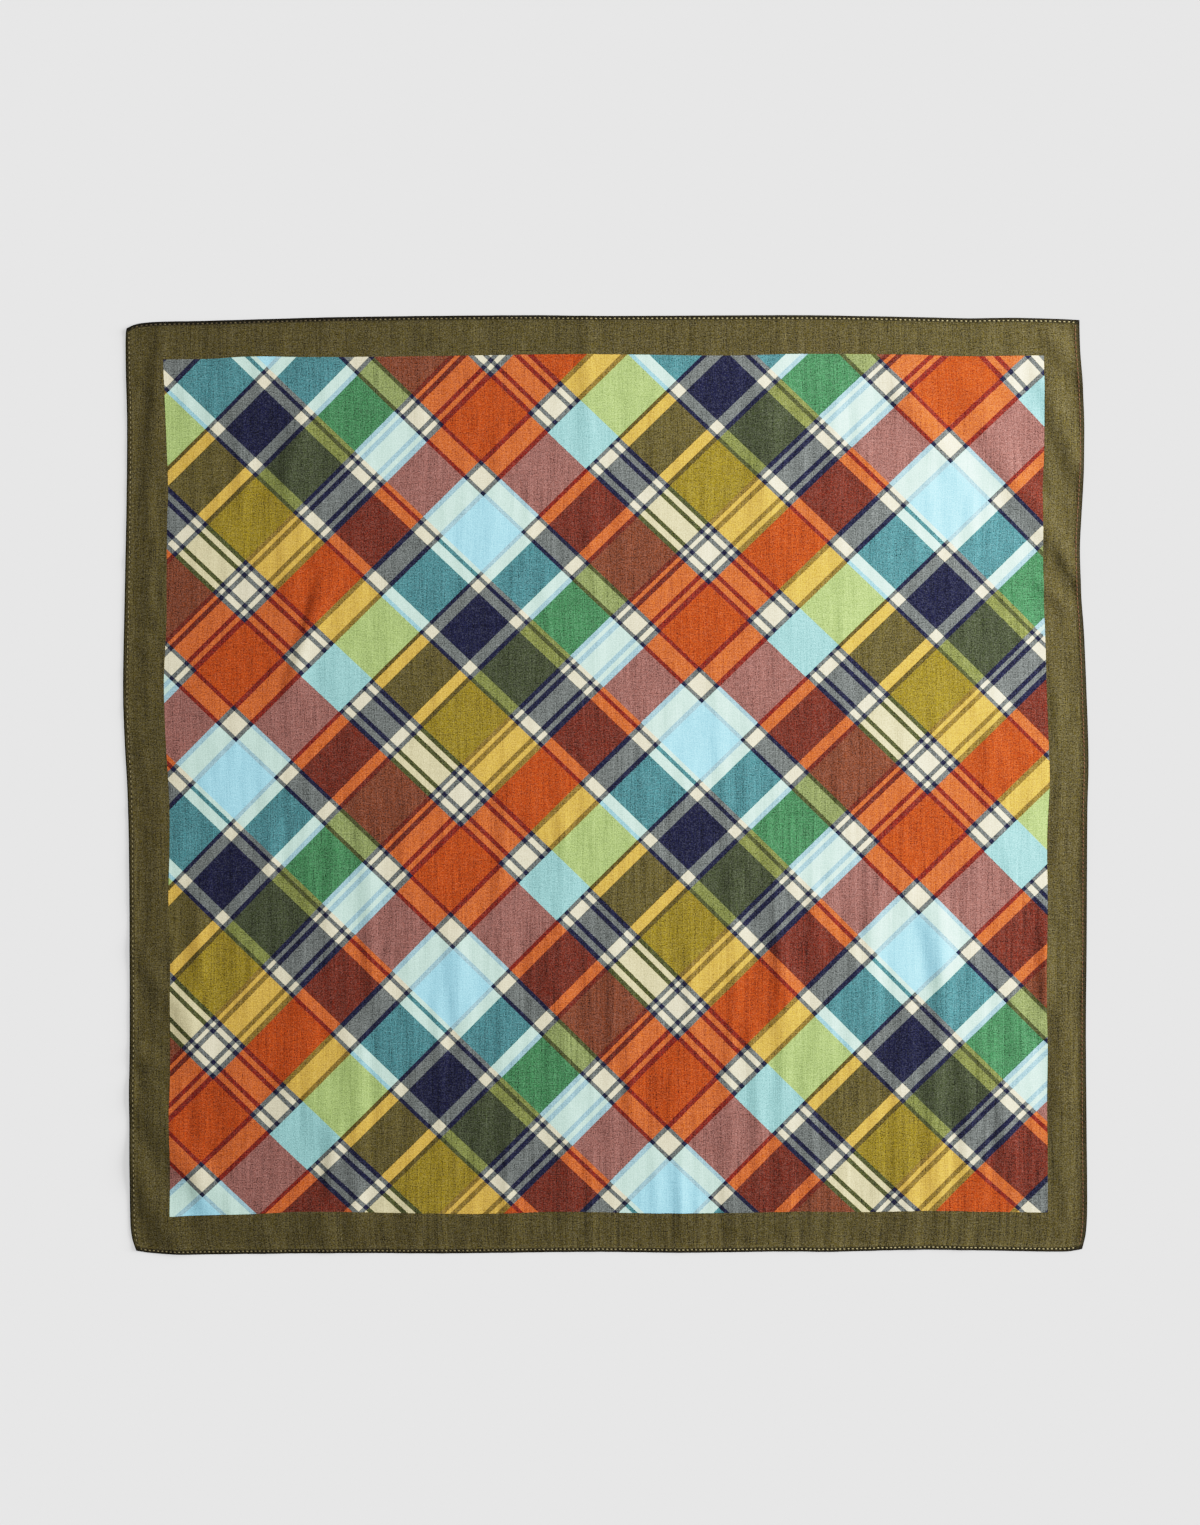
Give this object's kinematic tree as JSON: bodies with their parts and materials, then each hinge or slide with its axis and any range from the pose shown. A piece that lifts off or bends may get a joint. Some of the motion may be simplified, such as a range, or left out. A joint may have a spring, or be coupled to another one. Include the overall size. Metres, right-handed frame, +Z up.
{
  "type": "bandana",
  "caption": "Square cotton bandana spread out flat, with a narrow rolled hem, slightly bowed sides and low soft creases.",
  "frame": {"origin": "centre of the underside, in the plane that the cloth rests on", "axes": "+X to the right along the longer way of the cloth, +Y to the top of the printed face, +Z up out of that face"},
  "size_m": [0.5548, 0.5398, 0.0044],
  "materials": {
    "cloth": "matte plain-weave cotton, olive ground; the printed plaid is in the Blender scene"
  },
  "bodies": {
    "root": {"bandana": "cloth"}
  },
  "joints": []
}
